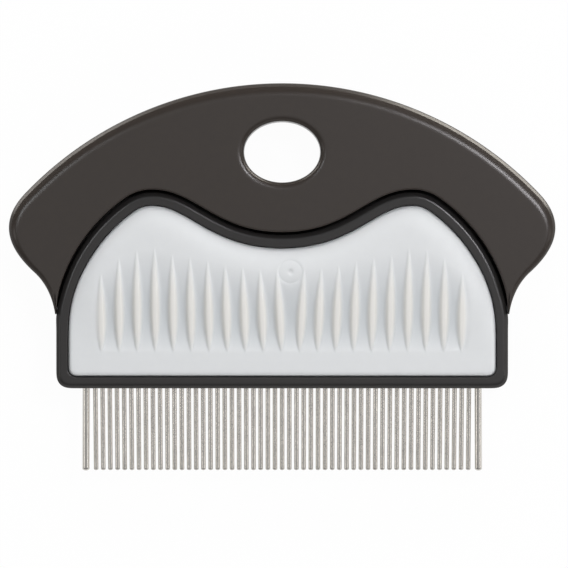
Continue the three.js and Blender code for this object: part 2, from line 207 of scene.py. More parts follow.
def bezier(a, b, c, d, count):
    """Cubic curve: its four points weighted by (1-t)^3, 3t(1-t)^2, 3t^2(1-t) and t^3 as t goes from 0 to 1."""
    t = np.linspace(0, 1, count)[:, None]
    a, b, c, d = (np.asarray(p, float) for p in (a, b, c, d))
    return (1 - t) ** 3 * a + 3 * t * (1 - t) ** 2 * b + 3 * t * t * (1 - t) * c + t ** 3 * d


def pulled(start, distance, angle):
    """The point at a distance from start, in a direction measured from straight down towards +X."""
    return (start[0] + distance * math.sin(angle), start[1] - distance * math.cos(angle))


def evenly(line, step):
    """The same line with points at equal steps of its length, its two ends kept."""
    run = np.concatenate([[0], np.cumsum(np.linalg.norm(np.diff(line, axis=0), axis=1))])
    count = max(2, int(round(run[-1] / step)) + 1)
    at = np.linspace(0, run[-1], count)
    return np.stack([np.interp(at, run, axis) for axis in line.T], 1)


def mirrored(half):
    """A half line from the middle outwards, made whole: from its right end over the middle to its left end."""
    return np.concatenate([half[:0:-1], half * (-1, 1)])


def moved_in(line, distance, closed=True):
    """Each point of an anticlockwise line moves inwards by the distance, square to the line's mean direction there."""
    if closed:
        before, after = np.roll(line, 1, 0), np.roll(line, -1, 0)
    else:
        before = np.concatenate([line[:1], line[:-1]])
        after = np.concatenate([line[1:], line[-1:]])
    along = after - before
    along /= np.maximum(np.linalg.norm(along, axis=1), 1e-9)[:, None]
    inwards = np.stack([-along[:, 1], along[:, 0]], 1)
    return line + inwards * np.broadcast_to(distance, len(line))[:, None]


def smooth_step(value, low, high):
    """0 below low, 1 above high, and 3t^2 - 2t^3 between them."""
    t = np.clip((value - low) / (high - low), 0, 1)
    return t * t * (3 - 2 * t)


def half_gap(y):
    """Half the width of the gap between grip and carrier: it closes to a hair at the foot of the parting line."""
    return SEAM_HAIR + (SEAM_GAP / 2 - SEAM_HAIR) * smooth_step(y, *GAP_RANGE)


def tongue_reach(y):
    """How far the tongue goes into the grip at a height: a trace at the foot of the parting line, 3 mm higher up."""
    growth = (TONGUE_DEPTH - TONGUE_TRACE) * smooth_step(y, *TONGUE_RANGE)
    return TONGUE_TRACE * smooth_step(y, *TRACE_RANGE) + growth


def rim_width(y):
    """Width of the carrier's rim beside the pad, measured from the parting line: widest along the top."""
    return RIM + RIM_SWELL[0] + RIM_SWELL[1] * smooth_step(y, *RIM_RANGE)


def parting_half():
    """Right half of the parting line, from the dip over the hump and down the flank to the side of the carrier."""
    shoulder = (SHOULDER_SHARE * HALF, SHOULDER_Y)
    turn = FLANK_SHARE * HALF - shoulder[0]
    flank = (shoulder[0] + turn, shoulder[1] - FLANK_DROP * turn)
    end = (HALF - SEAM_END_INSET, SEAM_END_Y)
    foot = (HALF + SEAM_GAP / 2, SEAM_FOOT_Y)
    rise, tail = flank[1] - end[1], end[1] - foot[1]
    return np.concatenate([
        bezier((0, DIP_Y), (DIP_PULLS[0] * shoulder[0], DIP_Y), (DIP_PULLS[1] * shoulder[0], SHOULDER_Y),
               shoulder, 900),
        bezier(shoulder, (shoulder[0] + SHOULDER_PULLS[0] * turn, SHOULDER_Y),
               pulled(flank, -SHOULDER_PULLS[1] * turn, FLANK_ANGLE), flank, 300)[1:],
        bezier(flank, pulled(flank, FLANK_PULLS[0] * rise, FLANK_ANGLE),
               pulled(end, -FLANK_PULLS[1] * rise, SEAM_END_ANGLE), end, 900)[1:],
        bezier(end, pulled(end, FOOT_PULL * tail, SEAM_END_ANGLE), (foot[0], foot[1] + FOOT_PULL * tail),
               foot, 200)[1:],
    ])


def silhouette_half():
    """Right half of the comb's outer edge: a circular arch, a rounded tip and a hollow flank."""
    drop = ARCH_Y - TIP_Y
    radius = (TIP_X ** 2 + drop ** 2) / (2 * drop)
    turn = math.asin(TIP_X / radius)
    swing = np.linspace(0, turn, 1500)
    arch = np.stack([radius * np.sin(swing), ARCH_Y - radius * (1 - np.cos(swing))], 1)
    tip_depth, hollow_depth = TIP_Y - WAIST[1], WAIST[1] - FOOT_Y
    foot = (HALF, FOOT_Y)
    return np.concatenate([
        arch,
        bezier(arch[-1], pulled(arch[-1], TIP_PULLS[0] * tip_depth, math.pi / 2 - turn),
               pulled(WAIST, TIP_PULLS[1] * tip_depth, math.pi - WAIST_ANGLE), WAIST, 700)[1:],
        bezier(WAIST, pulled(WAIST, HOLLOW_PULLS[0] * hollow_depth, -WAIST_ANGLE),
               (foot[0], foot[1] + HOLLOW_PULLS[1] * hollow_depth), foot, 400)[1:],
    ])


PARTING = evenly(mirrored(parting_half()), LINE_STEP)
SILHOUETTE = evenly(mirrored(silhouette_half()), LINE_STEP)


def low_corner(half, bottom, corner, count):
    """The lower left corner of a plate, a quarter of a circle from its side to its bottom."""
    turn = np.linspace(0, math.pi / 2, count)
    return np.stack([corner * (1 - np.cos(turn)) - half, bottom + corner * (1 - np.sin(turn))], 1)


def rounded(line, rounds):
    """Softens a closed line's corners: each point moves halfway to the mean of its neighbours, several times."""
    for _ in range(rounds):
        line = line + 0.5 * ((np.roll(line, 1, 0) + np.roll(line, -1, 0)) / 2 - line)
    return line


def handle_outline():
    """Closed outer and inner edges of the grip. Also says of each point whether it lies on the inner edge."""
    outer = SILHOUETTE[SILHOUETTE[:, 1] > GRIP_FOOT_Y]
    inner = moved_in(PARTING, -half_gap(PARTING[:, 1]), closed=False)
    inner = inner[inner[:, 1] > GRIP_FOOT_Y][::-1]
    outer, inner = evenly(outer, GRIP_STEP), evenly(inner, GRIP_STEP)
    line = np.concatenate([outer, inner])
    return line, np.arange(len(line)) >= len(outer)


def carrier_outline():
    """Closed edge of the tooth carrier: under the parting line, out to the side of the comb below the grip's end,
    round two corners and along the bottom."""
    upper = moved_in(PARTING, half_gap(PARTING[:, 1]), closed=False)
    upper = upper[upper[:, 1] > CARRIER_CROSSING[1]]
    side = SILHOUETTE[(SILHOUETTE[:, 1] < CARRIER_CROSSING[0]) & (SILHOUETTE[:, 0] < 0)]
    lower = np.concatenate([side, low_corner(HALF, CARRIER_BOTTOM_Y, CARRIER_CORNER, 16)])
    line = np.concatenate([upper, lower, (lower * (-1, 1))[::-1], upper[:1]])
    return rounded(evenly(line, PLATE_STEP)[:-1], 6)


def plate_outline(inset, bottom, corner, step):
    """Closed line inside the parting line by a distance, with two rounded lower corners."""
    upper = moved_in(PARTING, inset, closed=False)
    left = low_corner(upper[0, 0], bottom, corner, 12)
    line = np.concatenate([upper, left, (left * (-1, 1))[::-1], upper[:1]])
    return rounded(evenly(line, step)[:-1], 2)


def edge_profile(width, angle, fold, edge, rim=0, steps=(6, 3, 8)):
    """Section of a bevelled edge, from the face outwards, as (distance inside the edge, depth below the face). It
    turns by arcs, r * (sin, cos), joined by straights: from level to the bevel's angle with radius fold, on to 42
    degrees, along a rim chamfer, and on to upright with radius edge. The bevel gets what is left of the width."""
    slope, steep = math.radians(angle), STEEP_ANGLE
    folding, straight, turning = steps
    arcs = [(fold, 0, slope, folding), (edge, slope, steep, turning // 2), (edge, steep, math.pi / 2, turning)]
    taken = sum(r * (math.sin(high) - math.sin(low)) for r, low, high, _ in arcs) + rim * math.cos(steep)
    runs = [max(width - taken, 0) / math.cos(slope), rim, 0]
    inset, depth = [0.0], [0.0]
    for (radius, low, high, count), run in zip(arcs, runs):
        turn = np.linspace(low, high, count)
        inset += list(inset[-1] - radius * (np.sin(turn[1:]) - math.sin(low)))
        depth += list(depth[-1] + radius * (math.cos(low) - np.cos(turn[1:])))
        onward = np.linspace(0, run, straight + 1)[1:]
        inset += list(inset[-1] - onward * math.cos(high))
        depth += list(depth[-1] + onward * math.sin(high))
    keep = len(inset) - straight
    inset, depth = np.array(inset[:keep]), np.array(depth[:keep])
    return inset - inset[-1], depth


# Points that are worked out at a time, which keeps the memory small
BATCH = 4000


def distance_to(points, line):
    """Shortest distance from each point to a closed line, by its nearest segment."""
    a, b = line, np.roll(line, -1, 0)
    span = b - a
    length = np.maximum((span ** 2).sum(1), 1e-12)
    best = np.empty(len(points))
    for start in range(0, len(points), BATCH):
        p = points[start:start + BATCH, None]
        share = np.clip(((p - a) * span).sum(2) / length, 0, 1)
        best[start:start + BATCH] = np.linalg.norm(p - a - share[..., None] * span, axis=2).min(1)
    return best


def inside(points, line):
    """True where a point lies inside a closed line: a ray to the right crosses the line an odd number of times."""
    a, b = line, np.roll(line, -1, 0)
    odd = np.zeros(len(points), bool)
    for start in range(0, len(points), BATCH):
        x, y = points[start:start + BATCH, :1], points[start:start + BATCH, 1:]
        spans = (a[:, 1] > y) != (b[:, 1] > y)
        rise = np.where(np.abs(b[:, 1] - a[:, 1]) < 1e-12, 1e-12, b[:, 1] - a[:, 1])
        cut = a[:, 0] + (y - a[:, 1]) / rise * (b[:, 0] - a[:, 0])
        odd[start:start + BATCH] = (spans & (x < cut)).sum(1) % 2 == 1
    return odd


class Shell:
    """The points and faces of one closed piece while it is being worked out, in millimetres."""

    def __init__(self):
        self.points = np.zeros((0, 3))
        self.quads = []
        self.triangles = []

    def add(self, points):
        first = len(self.points)
        self.points = np.concatenate([self.points, np.asarray(points, float).reshape(-1, 3)])
        return np.arange(first, len(self.points))

    def loft(self, rings, inwards=False):
        """Joins a stack of closed rings, an array of rings x points x 3, from the front to the rear."""
        index = self.add(rings).reshape(rings.shape[:2])
        a, b = index[:-1], index[1:]
        faces = np.stack([a, b, np.roll(b, -1, 1), np.roll(a, -1, 1)], -1).reshape(-1, 4)
        self.quads.append(faces[:, ::-1] if inwards else faces)
        return index

    def patch(self, loops, facing, extra=None, height=None):
        """Closes the flat or gently swelling area inside the first loop and outside the others with triangles.
        Extra points inside it take their height from a function of their place."""
        ends = np.concatenate(loops)
        flat = self.points[ends, :2]
        edges, start = [], 0
        for loop in loops:
            walk = np.arange(start, start + len(loop))
            edges += list(zip(walk.tolist(), np.roll(walk, -1).tolist()))
            start += len(loop)
        if extra is not None:
            flat = np.concatenate([flat, extra])
            ends = np.concatenate([ends, self.add(np.column_stack([extra, height(extra)]))])
        made = delaunay_2d_cdt([Vector(p) for p in flat], edges, [], 0, 1e-7)
        origin = np.array([o[0] if o else -1 for o in made[3]])
        corners = origin[np.array(made[2])]
        corners = corners[(corners >= 0).all(1)]
        centre = flat[corners].mean(1)
        keep = inside(centre, flat[:len(loops[0])])
        start = len(loops[0])
        for loop in loops[1:]:
            keep &= ~inside(centre, flat[start:start + len(loop)])
            start += len(loop)
        corners = corners[keep]
        a, b, c = flat[corners[:, 0]], flat[corners[:, 1]], flat[corners[:, 2]]
        area = (b[:, 0] - a[:, 0]) * (c[:, 1] - a[:, 1]) - (b[:, 1] - a[:, 1]) * (c[:, 0] - a[:, 0])
        corners = np.where((area * facing < 0)[:, None], corners[:, ::-1], corners)
        self.triangles.append(ends[corners])

    def turned_over(self):
        """Turns the piece over to the other face of the comb: half a turn about the Y axis."""
        self.points = self.points * (-1, 1, -1)
        return self

    def piece(self, name, masks=None):
        """Makes the Blender object. Its points are in metres of the frame, and it is smooth all over. Masks are
        values of its points that its finish reads by their name."""
        quads, triangles = np.concatenate(self.quads), np.concatenate(self.triangles)
        points = (self.points + (0, CARRIER_EDGE_Y, MID_Z)) * MM
        mesh = bpy.data.meshes.new(name)
        mesh.vertices.add(len(points))
        mesh.vertices.foreach_set("co", points.astype(np.float32).ravel())
        corners = np.concatenate([quads.ravel(), triangles.ravel()])
        sizes = np.concatenate([np.full(len(quads), 4), np.full(len(triangles), 3)])
        mesh.loops.add(len(corners))
        mesh.loops.foreach_set("vertex_index", corners.astype(np.int32))
        mesh.polygons.add(len(sizes))
        mesh.polygons.foreach_set("loop_start", (np.cumsum(sizes) - sizes).astype(np.int32))
        mesh.polygons.foreach_set("use_smooth", np.ones(len(sizes), bool))
        mesh.update(calc_edges=True)
        if mesh.validate():
            raise RuntimeError(f"the faces of {name} don't join up")
        for label, values in (masks or {}).items():
            mesh.attributes.new(label, "FLOAT", "POINT").data.foreach_set("value", values.astype(np.float32))
        made = bpy.data.objects.new(name, mesh)
        bpy.context.scene.collection.objects.link(made)
        return made


def full_turn(count):
    """Equal steps once round a circle."""
    return np.linspace(0, 2 * math.pi, count, endpoint=False)


def ring(line, distance, z):
    """A closed line moved in by a distance, at a height."""
    flat = moved_in(line, distance)
    return np.column_stack([flat, np.broadcast_to(z, len(flat))])


# The grip

def grip_shell(sizes):
    """The grip: one bevelled section carried along its closed edge, the same on both faces, a rounded rim carried
    round the oval hang hole, and flat faces between them. The bevel fades to a small round on the hollow flanks,
    and on the inner edge there is only a small round, above the slot for the carrier's tongue."""
    line, is_inner = handle_outline()
    full = edge_profile(sizes.bevel_width / MM, math.degrees(sizes.bevel_angle), sizes.fold_radius / MM, RIM_ROUND,
                        RIM_CHAMFER, GRIP_STEPS)
    small = edge_profile(*FLANK_ROUND, GRIP_STEPS)
    inner = edge_profile(*INNER_ROUND, GRIP_STEPS)
    share = np.where(is_inner, 0, smooth_step(line[:, 1], *BEVEL_RANGE))
    fit = FOOT_SHARE + (1 - FOOT_SHARE) * smooth_step(line[:, 1], *FOOT_RANGE)
    inset, depth = (np.where(is_inner[:, None], tight, low + share[:, None] * (high - low)) * fit[:, None]
                    for high, low, tight in zip(full, small, inner))
    slot = np.where(is_inner, (tongue_reach(line[:, 1]) + SLOT_ROOM) * smooth_step(line[:, 1], *SLOT_RANGE), 0)
    draft, ridge = SIDE_DRAFT * ~is_inner, RIDGE * ~is_inner
    front = [ring(line, inset[:, 0] + GRIP_COLLAR * fit, HANDLE_FACE)]
    front += [ring(line, inset[:, k] + draft, HANDLE_FACE - depth[:, k]) for k in range(inset.shape[1])]
    front.append(ring(line, draft / 2, SLOT_HALF + 0.2))
    front.append(ring(line, ridge / 2, np.where(is_inner, SLOT_HALF + 0.02, 4 * RIDGE)))
    front.append(ring(line, slot, np.where(is_inner, SLOT_HALF, 2 * RIDGE)))
    front.append(ring(line, slot - ridge, np.where(is_inner, SLOT_HALF - 0.2, RIDGE)))
    rear = [layer * (1, 1, -1) for layer in front[::-1]]
    shell = Shell()
    edge = shell.loft(np.stack(front + rear))
    turn = full_turn(96)
    centre_y = DIP_Y + HOLE_SHARE * (ARCH_Y - DIP_Y)
    sweep = np.linspace(0, math.pi / 2, 9)
    growth = np.concatenate([[HOLE_RIM + HOLE_COLLAR], HOLE_RIM * (1 - np.sin(sweep)), [-0.05]])
    height = np.concatenate([[HANDLE_FACE], HANDLE_FACE - HOLE_RIM_DEPTH * (1 - np.cos(sweep)), [0.0]])
    growth, height = np.concatenate([growth, growth[-2::-1]]), np.concatenate([height, -height[-2::-1]])
    hole = np.stack([np.column_stack([(HOLE_HALF[0] + g) * np.cos(turn),
                                      centre_y - HOLE_LEAN * g + (HOLE_HALF[1] + g) * np.sin(turn),
                                      np.full(len(turn), z)]) for g, z in zip(growth, height)])
    hole = shell.loft(hole, inwards=True)
    shell.patch([edge[0], hole[0]], 1)
    shell.patch([edge[-1], hole[-1]], -1)
    return shell


# The tooth carrier

def carrier_shell():
    """The carrier: a small bevel carried along its closed edge on both faces, with the tongue standing out of the
    upper part of its wall, and a pocket on each face whose mouth has a small round."""
    line = carrier_outline()
    inset, depth = edge_profile(*CARRIER_ROUND)
    parted = smooth_step(line[:, 1], *PARTED_RANGE)
    tongue = (2 * half_gap(line[:, 1]) + tongue_reach(line[:, 1])) * parted
    front = [ring(line, inset[0] + CARRIER_COLLAR, CARRIER_FACE)]
    front += [ring(line, i + CARRIER_DRAFT, CARRIER_FACE - d) for i, d in zip(inset, depth)]
    front.append(ring(line, 2 / 3 * CARRIER_DRAFT, TONGUE_HALF + 0.15))
    front.append(ring(line, CARRIER_DRAFT / 3 - 0.02 * tongue, (TONGUE_HALF + 0.05) * parted + 0.5 * (1 - parted)))
    front.append(ring(line, -tongue, TONGUE_HALF * parted + 0.3 * (1 - parted)))
    rear = [layer * (1, 1, -1) for layer in front[::-1]]
    shell = Shell()
    edge = shell.loft(np.stack(front + rear))
    mouth = plate_outline(rim_width(PARTING[:, 1]), RAIL, MOUTH_CORNER, PLATE_STEP)
    sweep = np.linspace(0, math.pi / 2, 5)
    for side in (1, -1):
        layers = [ring(mouth, -MOUTH_COLLAR, CARRIER_FACE)]
        layers += [ring(mouth, -MOUTH_ROUND * (1 - math.sin(s)), CARRIER_FACE - MOUTH_ROUND * (1 - math.cos(s)))
                   for s in sweep]
        layers.append(ring(mouth, 0, POCKET_FLOOR))
        pocket = shell.loft(np.stack(layers) * (1, 1, side), inwards=side > 0)
        shell.patch([edge[0] if side > 0 else edge[-1], pocket[0]], side)
        shell.patch([pocket[-1]], side)
    return shell


# The pads

def rib_lines():
    """Foot, top and lean of each rib. Its top is a share of the way from its foot up to the parting line."""
    x = (np.arange(RIB_COUNT) - (RIB_COUNT - 1) / 2) * RIB_PITCH + RIB_SHIFT
    half = parting_half()
    half = half[half[:, 1] >= SEAM_END_Y]
    above = np.interp(np.abs(x), half[:, 0], half[:, 1])
    steps = np.abs(np.arange(RIB_COUNT) - (RIB_COUNT - 1) // 2)
    length = (above - RIB_FOOT) * RIB_REACH[steps]
    away = x - GATE[0]
    lean = RIB_FAN * np.sign(away) * np.exp(-np.abs(away) / RIB_FAN_FADE)
    return x, length, lean


def rib_relief(points, sizes):
    """How far the ribs rise and the troughs between them sink at each point. Along its length a rib swells as
    sin(pi * t^0.8), and across it falls off as exp(-(x / w)^3.4). A trough deepens as sin(pi * t^0.75)^1.5, and
    beyond the last rib it dies out as exp(-(x / 0.8)^2)."""
    x, y = points[:, 0], points[:, 1]
    foot, length, lean = rib_lines()
    beyond = np.maximum(np.abs(x) - foot[-1], 0)
    along = np.clip((y - RIB_FOOT) / np.interp(x, foot, length), 0, 1)
    trough = sizes.trough_depth / MM * np.sin(math.pi * along ** 0.75) ** 1.5 * np.exp(-(beyond / 0.8) ** 2)
    rise = np.zeros(len(points))
    for k in range(RIB_COUNT):
        along = (y - RIB_FOOT) / length[k]
        swell = np.sin(math.pi * np.clip(along, 0, 1) ** 0.8)
        width = RIB_POINT + sizes.rib_width / MM * swell
        across = np.abs(x - foot[k] - lean[k] * along) / width
        crest = trough + sizes.rib_rise / MM * swell ** 0.8
        rise = np.maximum(rise, crest * np.exp(-across ** 3.4) * (swell > 0))
    return rise, trough


def pad_height(points, outline, sizes, gate):
    """Height of a pad's face above the middle plane: a tight round at its edge, r * (1 - exp(-d / r)), a roll,
    h * tanh(d / w), wide along the top and narrow along the bottom, a low crown, and the ribs and troughs. The gate's
    mark is a shallow disc with a groove round it, g * exp(-((d - r) / w)^2), and a dimple in the middle."""
    x, y = points[:, 0], points[:, 1]
    far = distance_to(points, outline)
    round_up = PAD_ROUND * (1 - np.exp(-far / PAD_ROUND))
    top = smooth_step(y, *ROLL_RANGE)
    (high, wide), (low, narrow) = TOP_ROLL, LOW_ROLL
    roll = low * (1 - top) * np.tanh(far / narrow) + high * top * np.tanh(far / wide)
    middle = (RAIL + SHOULDER_Y - RIM) / 2
    crown = PAD_CROWN * np.clip(1 - (x / HALF) ** 2, 0, 1)
    crown = crown * np.clip(1 - ((y - middle) / (middle - RAIL)) ** 2, 0, 1)
    rise, trough = rib_relief(points, sizes)
    z = CARRIER_FACE - PAD_EDGE + round_up + roll + crown + rise - trough
    if gate:
        away = np.linalg.norm(points - GATE, axis=1)
        for depth, low, high in (GATE_DISC, GATE_DIMPLE):
            z -= depth * (1 - smooth_step(away, low, high))
        z -= GATE_GROOVE[0] * np.exp(-((away - GATE_RADIUS) / GATE_GROOVE[1]) ** 2)
    return z


def pad_shell(sizes, gate):
    """A pad: an upright side, a round edge, and a face whose height is worked out at rows and columns that follow
    the ribs, closer together where a rib or the gate mark bends the surface."""
    outline = plate_outline(rim_width(PARTING[:, 1]) + PAD_GAP, RAIL + PAD_GAP, PAD_CORNER, PAD_STEP)

    def height(points):
        return pad_height(points, outline, sizes, gate)

    shell = Shell()
    layers = []
    for inset in PAD_INSETS[::-1]:
        flat = moved_in(outline, inset)
        layers.append(np.column_stack([flat, height(flat)]))
    layers[-1][:, 2] = CARRIER_FACE - PAD_EDGE
    layers.append(ring(outline, 0, POCKET_FLOOR + PAD_GAP))
    side = shell.loft(np.stack(layers))
    foot, length, lean = rib_lines()
    spread = np.concatenate([-COLUMN_SHARES[:0:-1], COLUMN_SHARES])
    rows = np.arange(GRID_LOW_Y, SHOULDER_Y, GRID_STEP)
    columns = []
    for k in range(-2, RIB_COUNT + 2):
        at = min(max(k, 0), RIB_COUNT - 1)
        along = np.clip((rows - RIB_FOOT) / length[at], 0, 1.3)
        line = foot[at] + (k - at) * RIB_PITCH + lean[at] * along
        columns.append(np.stack([line[:, None] + spread * RIB_PITCH / 2, np.repeat(rows[:, None], len(spread), 1)], -1))
    grid = np.concatenate([c.reshape(-1, 2) for c in columns])
    inner = layers[0][:, :2]
    grid = grid[inside(grid, inner)]
    grid = grid[distance_to(grid, inner) > GRID_CLEAR]
    if gate:
        grid = grid[np.linalg.norm(grid - GATE, axis=1) > GATE_CLEAR]
        turn = full_turn(60)
        circle = np.stack([np.cos(turn), np.sin(turn)], 1)
        grid = np.concatenate([grid, [GATE], *(GATE + radius * circle for radius in GATE_RINGS)])
    shell.patch([side[0]], 1, grid, height)
    shell.patch([side[-1]], -1)
    return shell


def pad_painted_light_masks(shell, sizes):
    """Where the crests of the ribs are, which get a painted highlight, and where the troughs are, which get a painted
    shade.
    """
    rise, trough = rib_relief(shell.points[:, :2] * (np.sign(shell.points[:, 2:]).max(), 1), sizes)
    return {"crest": np.clip(rise / 0.7, 0, 1), "trough": np.clip((trough - rise) / 0.6, 0, 1)}


# The pins

def pin_shell(x, diameter, reach, lean):
    """A steel pin along Y: a circle carried from its blind hole to its rounded tip. Near the tip the radius is that
    of an ellipse, r * cos(s), while the length grows by its share of r * sin(s)."""
    radius = diameter / 2
    sweep = np.linspace(0, math.radians(82), 6)
    dome = PIN_DOME * radius
    straight = [PIN_SEAT, PIN_SEAT - PIN_LEAD, 0.0, -5.0, -10.0, -reach + dome + PIN_RING, -reach + dome]
    y = np.concatenate([straight, -reach + dome - dome * np.sin(sweep)[1:]])
    r = np.concatenate([[radius - PIN_LEAD], [radius] * (len(straight) - 1), radius * np.cos(sweep)[1:]])
    turn = full_turn(PIN_SIDES)
    middle = x + lean * np.clip(-y / reach, 0, 1)
    rings = np.stack([middle[:, None] + r[:, None] * np.cos(turn),
                      np.repeat(y[:, None], len(turn), 1),
                      -r[:, None] * np.sin(turn)], -1)
    shell = Shell()
    index = shell.loft(rings[::-1])
    for end, tip_y, tip_x, flip in ((index[0], -reach, middle[-1], False), (index[-1], PIN_SEAT, middle[0], True)):
        pole = shell.add([(tip_x, tip_y, 0)])[0]
        fan = np.stack([end, np.roll(end, -1), np.full(len(end), pole)], 1)
        shell.triangles.append(fan[:, ::-1] if flip else fan)
    return shell


# Finishes. The plastics' roughness stays above 0.28 and the steel's below 0.26: a gloss that wanders across 0.27
# comes out as specks once the picture is cleaned of noise.
PLASTIC_ROUGHNESS = 0.295
RUBBER_ROUGHNESS = 0.5
STEEL_ROUGHNESS = 0.17
GLOSS_WANDER = 0.03
GLOSS_STREAK = 0.04
MOTTLE = 1.6
DARK_PLASTIC = 0.86
PALE_RUBBER = 0.97
DARK_STEEL = 0.8


def group(name, inputs, outputs):
    """A shader node group of plain numbers, with named inputs that have defaults, and named outputs."""
    tree = bpy.data.node_groups.new(name, "ShaderNodeTree")
    for label, default in inputs.items():
        tree.interface.new_socket(label, in_out="INPUT", socket_type="NodeSocketFloat").default_value = default
    for label in outputs:
        tree.interface.new_socket(label, in_out="OUTPUT", socket_type="NodeSocketFloat")
    return tree, tree.nodes.new("NodeGroupInput"), tree.nodes.new("NodeGroupOutput")


def node(tree, kind, links=(), **values):
    """Adds a node, sets its properties, and joins or sets its inputs, given as (input, output or value)."""
    made = tree.nodes.new(kind)
    for key, value in values.items():
        setattr(made, key, value)
    for socket, source in links:
        if isinstance(source, bpy.types.NodeSocket):
            tree.links.new(source, made.inputs[socket])
        else:
            made.inputs[socket].default_value = source
    return made


def maths(tree, operation, a, b, clamp=False):
    """The output of one Math node."""
    return node(tree, "ShaderNodeMath", [(0, a), (1, b)], operation=operation, use_clamp=clamp).outputs[0]


def noise(tree, place, size, detail, roughness=0.5):
    """The output of one Noise node, from 0 to 1."""
    return node(tree, "ShaderNodeTexNoise", [("Vector", place), ("Scale", size), ("Detail", detail),
                                             ("Roughness", roughness)]).outputs["Fac"]


def moulded_surface():
    """Group for moulded plastic and rubber: a slow mottle of the colour and a fine spark-eroded grain."""
    tree, take, give = group("moulded_surface", {"Mottle Size": 900.0, "Mottle": 0.1, "Grain Size": 9000.0,
                                                 "Grain": 1.0}, ("Mottle", "Grain", "Gloss"))
    place = tree.nodes.new("ShaderNodeTexCoord").outputs["Object"]
    fine = noise(tree, place, take.outputs["Grain Size"], 2.0)
    wide = noise(tree, place, 60.0, 2.0)
    centred = maths(tree, "SUBTRACT", noise(tree, place, take.outputs["Mottle Size"], 4.0, 0.6), 0.5)
    tree.links.new(maths(tree, "MULTIPLY", centred, take.outputs["Mottle"]), give.inputs["Mottle"])
    tree.links.new(maths(tree, "MULTIPLY", fine, take.outputs["Grain"]), give.inputs["Grain"])
    tree.links.new(maths(tree, "ADD", wide, centred), give.inputs["Gloss"])
    return tree


def drawn_wire():
    """Group for drawn steel wire: long streaks along the pin and a finer scatter."""
    tree, take, give = group("drawn_wire", {"Streak": 1.0}, ("Streak", "Scatter"))
    place = tree.nodes.new("ShaderNodeTexCoord").outputs["Object"]
    drawn = node(tree, "ShaderNodeMapping", [("Vector", place), ("Scale", (5200.0, 160.0, 5200.0))])
    streak = maths(tree, "SUBTRACT", noise(tree, drawn.outputs[0], 1.0, 3.0), 0.5)
    scatter = maths(tree, "SUBTRACT", noise(tree, place, 420.0, 3.0), 0.5)
    tree.links.new(maths(tree, "MULTIPLY", streak, take.outputs["Streak"]), give.inputs["Streak"])
    tree.links.new(scatter, give.inputs["Scatter"])
    return tree


def finish(name):
    """A new material and its node tree, with its Principled shader."""
    material = bpy.data.materials.new(name)
    material.use_nodes = True
    tree = material.node_tree
    return material, tree, tree.nodes["Principled BSDF"]


def tinted(tree, colour, amount, other):
    """A colour, plain or out of a node, mixed towards another by a varying amount."""
    first = colour if isinstance(colour, bpy.types.NodeSocket) else (*colour, 1)
    return node(tree, "ShaderNodeMix", [(0, amount), (6, first), (7, (*other, 1))], data_type="RGBA").outputs[2]


def moulded(name, colour, other, roughness, mottle_size, grain_size, grain_depth, specular):
    """A moulded plastic or rubber: the colour wanders a little towards another, the gloss with it, and the grain
    raises the surface."""
    material, tree, shader = finish(name)
    surface = tree.nodes.new("ShaderNodeGroup")
    surface.node_tree = bpy.data.node_groups.get("moulded_surface") or moulded_surface()
    surface.inputs["Mottle Size"].default_value = mottle_size
    surface.inputs["Mottle"].default_value = MOTTLE
    surface.inputs["Grain Size"].default_value = grain_size
    amount = maths(tree, "ADD", surface.outputs["Mottle"], 0.5, clamp=True)
    tree.links.new(tinted(tree, colour, amount, other), shader.inputs["Base Color"])
    wander = maths(tree, "MULTIPLY", maths(tree, "SUBTRACT", surface.outputs["Gloss"], 0.5), GLOSS_WANDER)
    tree.links.new(maths(tree, "ADD", wander, roughness, clamp=True), shader.inputs["Roughness"])
    bump = node(tree, "ShaderNodeBump", [("Height", surface.outputs["Grain"]), ("Strength", 1.0),
                                         ("Distance", grain_depth)])
    tree.links.new(bump.outputs[0], shader.inputs["Normal"])
    shader.inputs["Specular IOR Level"].default_value = specular
    return material


def black_plastic(name, colour, mottle_size, grain_size):
    """The plastic of the grip and the carrier: the moulded finish, its colour wandering to a darker one."""
    dark = [DARK_PLASTIC * c for c in colour]
    return moulded(name, colour, dark, PLASTIC_ROUGHNESS, mottle_size, grain_size, grain_depth=0.000001, specular=0.5)


def rubber_finish(name, colour, crest, trough):
    """The pads' rubber: the moulded finish, with a painted highlight that turns its colour lighter and warmer on the
    crests of the ribs, and a painted shade that turns it darker and cooler in the troughs."""
    pale = [PALE_RUBBER * c for c in colour]
    material = moulded(name, colour, pale, RUBBER_ROUGHNESS, mottle_size=500.0, grain_size=5000.0,
                       grain_depth=0.000008, specular=0.4)
    tree = material.node_tree
    shader = tree.nodes["Principled BSDF"]
    base = shader.inputs["Base Color"].links[0].from_socket
    # Painted light: the crest mask lays a painted highlight on the ribs' crests, the trough mask a painted shade
    # between them
    for label, shade in (("trough", trough), ("crest", crest)):
        mask = node(tree, "ShaderNodeAttribute", attribute_name=label)
        base = tinted(tree, base, mask.outputs["Fac"], shade)
    tree.links.new(base, shader.inputs["Base Color"])
    return material


def steel(name, colour):
    """Polished drawn steel: metal with streaks along the wire in its colour and gloss."""
    material, tree, shader = finish(name)
    wire = tree.nodes.new("ShaderNodeGroup")
    wire.node_tree = bpy.data.node_groups.get("drawn_wire") or drawn_wire()
    both = maths(tree, "ADD", wire.outputs["Streak"], wire.outputs["Scatter"])
    amount = maths(tree, "ADD", both, 0.5, clamp=True)
    tree.links.new(tinted(tree, colour, amount, [DARK_STEEL * c for c in colour]), shader.inputs["Base Color"])
    rough = maths(tree, "MULTIPLY", wire.outputs["Streak"], GLOSS_STREAK)
    rough = maths(tree, "ADD", rough, STEEL_ROUGHNESS, clamp=True)
    tree.links.new(rough, shader.inputs["Roughness"])
    shader.inputs["Metallic"].default_value = 1
    return material


